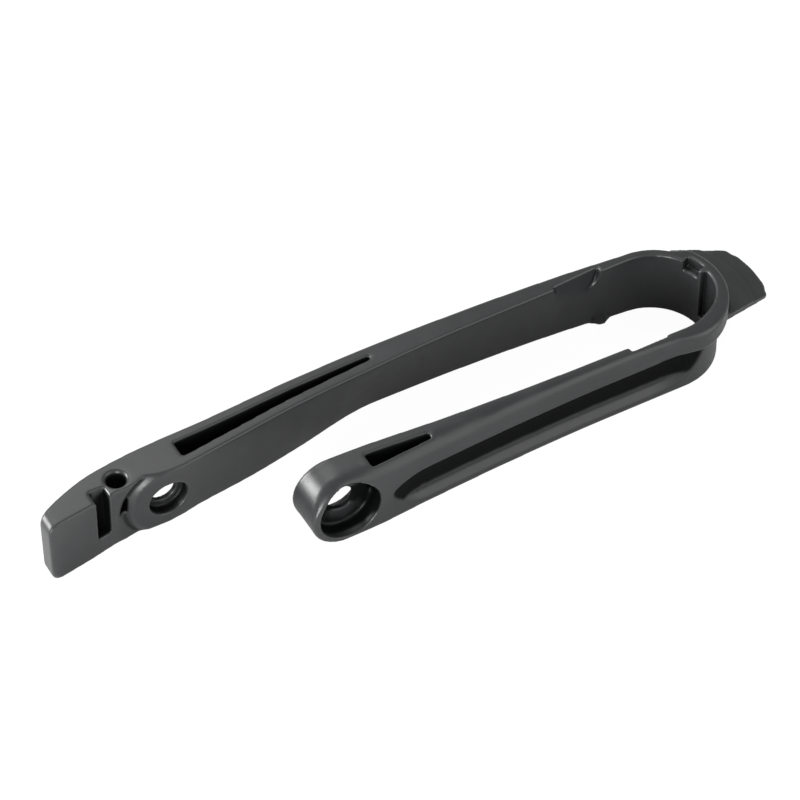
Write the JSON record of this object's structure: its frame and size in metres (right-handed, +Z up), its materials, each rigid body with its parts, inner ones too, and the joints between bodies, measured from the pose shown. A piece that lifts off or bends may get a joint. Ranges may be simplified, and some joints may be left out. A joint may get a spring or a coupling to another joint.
{
  "type": "chain slider",
  "caption": "Moulded chain slider for a motorbike swingarm: a long U with unequal arms, chain channels, screw seats and a fin at the nose.",
  "frame": {"origin": "centre of the box's bottom face, on the side edge the part lies on", "axes": "+X along the arms towards the nose and its fin, +Y from the short arm to the long arm, +Z up through the width"},
  "size_m": [0.391, 0.0772, 0.038],
  "materials": {
    "black_moulded_plastic": "satin, fine moulded grain"
  },
  "bodies": {
    "root": {"chain_slider": "black_moulded_plastic"}
  },
  "joints": []
}
